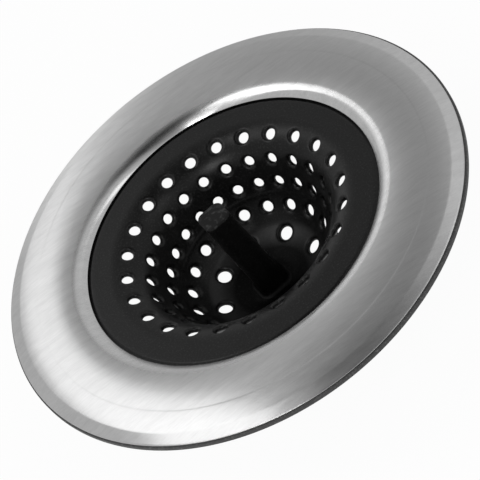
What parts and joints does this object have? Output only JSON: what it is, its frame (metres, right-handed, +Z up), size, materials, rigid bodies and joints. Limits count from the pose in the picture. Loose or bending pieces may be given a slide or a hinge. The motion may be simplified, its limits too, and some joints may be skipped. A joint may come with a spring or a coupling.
{
  "type": "sink strainer",
  "caption": "Drop-in sink drain strainer: a wide brushed steel rim over a soft black moulding with a perforated basket and a square grip post.",
  "frame": {"origin": "centre of the basket's flat foot, on its underside, where the strainer stands on a worktop", "axes": "+Z up along the basket's axis, out of its mouth; +X through the first hole of every row and square to a side of the post"},
  "size_m": [0.114, 0.114, 0.028],
  "materials": {
    "steel": "brushed in one direction",
    "silicone": "satin black silicone"
  },
  "bodies": {
    "rim": {"steel_rim": "steel", "rim_underlay": "silicone", "basket_flange": "silicone", "basket_wall": "silicone"},
    "basket_bottom": {"basket_floor": "silicone", "grip_post": "silicone"}
  },
  "joints": [
    {"name": "basket_turn_out", "type": "slide", "parent": "rim", "child": "basket_bottom", "axis": [0, 0, 1], "range_m": [0, 0.033], "deforming": ["basket_wall"]}
  ]
}
